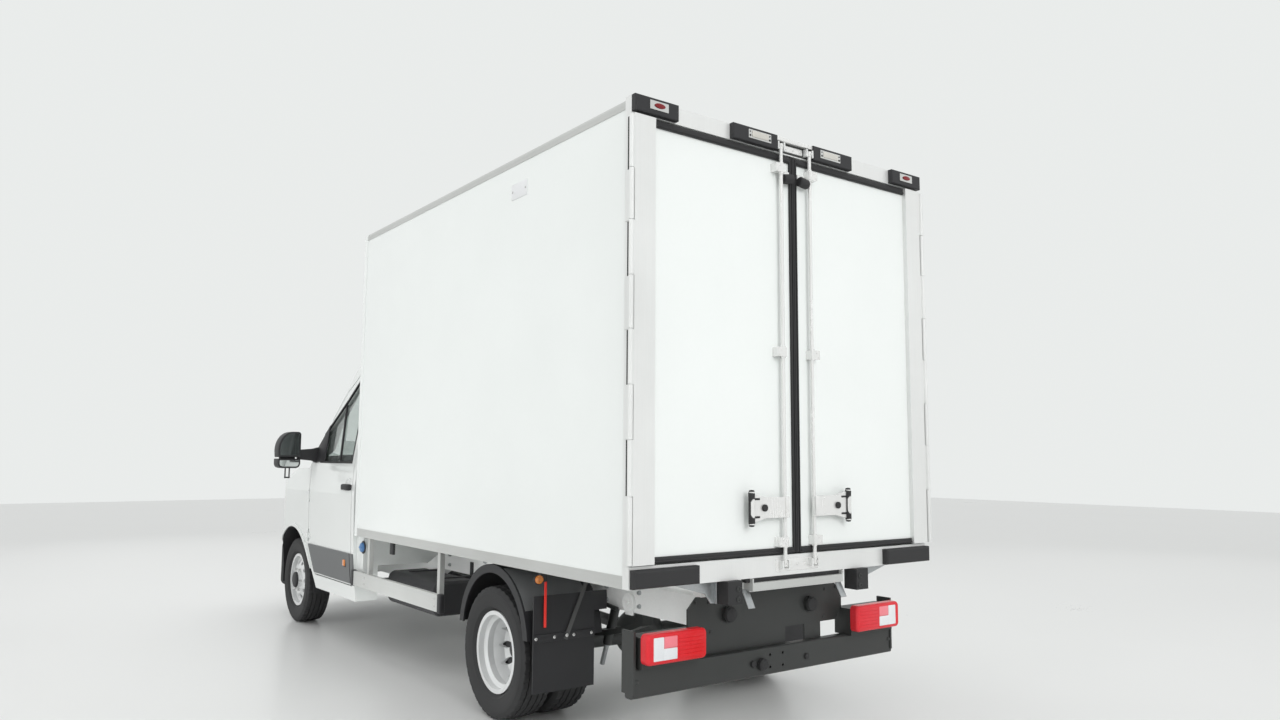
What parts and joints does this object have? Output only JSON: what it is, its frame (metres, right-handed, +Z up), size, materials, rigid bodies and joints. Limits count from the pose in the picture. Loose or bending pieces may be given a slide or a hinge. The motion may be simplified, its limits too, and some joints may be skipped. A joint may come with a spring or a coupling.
{
  "type": "refrigerated truck",
  "caption": "Insulated refrigerated box body with swinging rear doors on a light chassis cab, with steered front wheels, twin rear wheels, opening cab doors and bonnet.",
  "frame": {"origin": "ground level under the middle of the truck's length and width", "axes": "+X forward, +Y to the truck's left, +Z up"},
  "size_m": [5.9998, 2.65, 3.0599],
  "materials": {
    "body_white": "gloss",
    "panel_white": "gloss",
    "alu": "satin",
    "frame_grey": "satin",
    "black_steel": "satin",
    "black_plastic": "matte",
    "rubber": "matte",
    "tyre": "matte",
    "silver_steel": "satin",
    "stainless": "brushed",
    "glass": "clear",
    "red_lens": "clear",
    "clear_lens": "clear",
    "seat_cloth": "woven",
    "cast": "rough"
  },
  "bodies": {
    "truck": {"chassis_frame": "frame_grey", "box_floor": "alu", "box_side_left": "panel_white", "box_side_right": "panel_white", "box_edge_rails": "alu", "box_roof": "panel_white", "box_front_wall": "panel_white", "box_rear_frame": "alu", "rubber_buffers": "rubber", "header_lamps": "black_plastic", "rear_step": "alu", "underrun_bar": "black_steel", "tail_lamps": "red_lens", "rear_mudguards": "black_plastic", "side_guards": "alu", "fuel_tank": "black_plastic", "exhaust": "silver_steel", "cab_shell": "body_white", "windscreen": "glass", "headlamps": "clear_lens", "front_grille": "black_plastic", "front_bumper": "black_plastic", "dashboard": "black_plastic", "driver_seat": "seat_cloth", "passenger_bench": "seat_cloth", "engine_block": "cast", "front_axle": "black_steel", "rear_axle": "black_steel", "refrigeration_unit": "panel_white", "evaporator": "alu"},
    "rear_leaf_left": {"rear_door_left": "panel_white", "rear_door_edge_left": "alu", "rear_door_lock_left": "stainless"},
    "cab_leaf_left": {"cab_door_left": "body_white", "door_cladding_left": "black_plastic", "door_glass_left": "glass", "mirror_left": "black_plastic"},
    "steered_left": {"knuckle_left": "cast"},
    "front_wheel_left": {"front_tyre_left": "tyre", "front_rim_left": "silver_steel"},
    "rear_wheels_left": {"rear_tyres_left": "tyre", "rear_rims_left": "silver_steel"},
    "rear_leaf_right": {"rear_door_right": "panel_white", "rear_door_edge_right": "alu", "rear_door_lock_right": "stainless"},
    "cab_leaf_right": {"cab_door_right": "body_white", "door_cladding_right": "black_plastic", "door_glass_right": "glass", "mirror_right": "black_plastic"},
    "steered_right": {"knuckle_right": "cast"},
    "front_wheel_right": {"front_tyre_right": "tyre", "front_rim_right": "silver_steel"},
    "rear_wheels_right": {"rear_tyres_right": "tyre", "rear_rims_right": "silver_steel"},
    "bonnet_lid": {"bonnet": "body_white"},
    "steering": {"steering_wheel": "black_plastic"}
  },
  "joints": [
    {"name": "rear_door_left_swing", "type": "hinge", "parent": "truck", "child": "rear_leaf_left", "pos_m": [-2.958, 1.052, 1.95], "axis": [0, 0, -1], "range_deg": [0, 258]},
    {"name": "cab_door_left_swing", "type": "hinge", "parent": "truck", "child": "cab_leaf_left", "pos_m": [1.603, 1.021, 0.9], "axis": [0, 0, -1], "range_deg": [0, 68]},
    {"name": "rear_door_right_swing", "type": "hinge", "parent": "truck", "child": "rear_leaf_right", "pos_m": [-2.958, -1.052, 1.95], "axis": [0, 0, 1], "range_deg": [0, 258]},
    {"name": "cab_door_right_swing", "type": "hinge", "parent": "truck", "child": "cab_leaf_right", "pos_m": [1.603, -1.021, 0.9], "axis": [0, 0, 1], "range_deg": [0, 68]},
    {"name": "bonnet_lift", "type": "hinge", "parent": "truck", "child": "bonnet_lid", "pos_m": [2.117, 0, 1.292], "axis": [0, -1, 0], "range_deg": [0, 55]},
    {"name": "steer_left", "type": "hinge", "parent": "truck", "child": "steered_left", "pos_m": [2.02, 0.77, 0.352], "axis": [0, 0, 1], "range_deg": [-36, 36]},
    {"name": "front_wheel_left_spin", "type": "hinge", "parent": "steered_left", "child": "front_wheel_left", "pos_m": [2.02, 0.876, 0.352], "axis": [0, 1, 0], "continuous": true},
    {"name": "rear_wheels_left_spin", "type": "hinge", "parent": "truck", "child": "rear_wheels_left", "pos_m": [-1.62, 0.78, 0.352], "axis": [0, 1, 0], "continuous": true},
    {"name": "steer_right", "type": "hinge", "parent": "truck", "child": "steered_right", "pos_m": [2.02, -0.77, 0.352], "axis": [0, 0, 1], "range_deg": [-36, 36]},
    {"name": "front_wheel_right_spin", "type": "hinge", "parent": "steered_right", "child": "front_wheel_right", "pos_m": [2.02, -0.876, 0.352], "axis": [0, 1, 0], "continuous": true},
    {"name": "rear_wheels_right_spin", "type": "hinge", "parent": "truck", "child": "rear_wheels_right", "pos_m": [-1.62, -0.78, 0.352], "axis": [0, 1, 0], "continuous": true},
    {"name": "steering_wheel_turn", "type": "hinge", "parent": "truck", "child": "steering", "pos_m": [1.38, 0.47, 1.25], "axis": [-0.848, 0, 0.5299], "range_deg": [-504, 504]}
  ],
  "couplings": [
    {"joint": "steer_right", "follows": "steer_left", "ratio": 1},
    {"joint": "steering_wheel_turn", "follows": "steer_left", "ratio": 14}
  ]
}
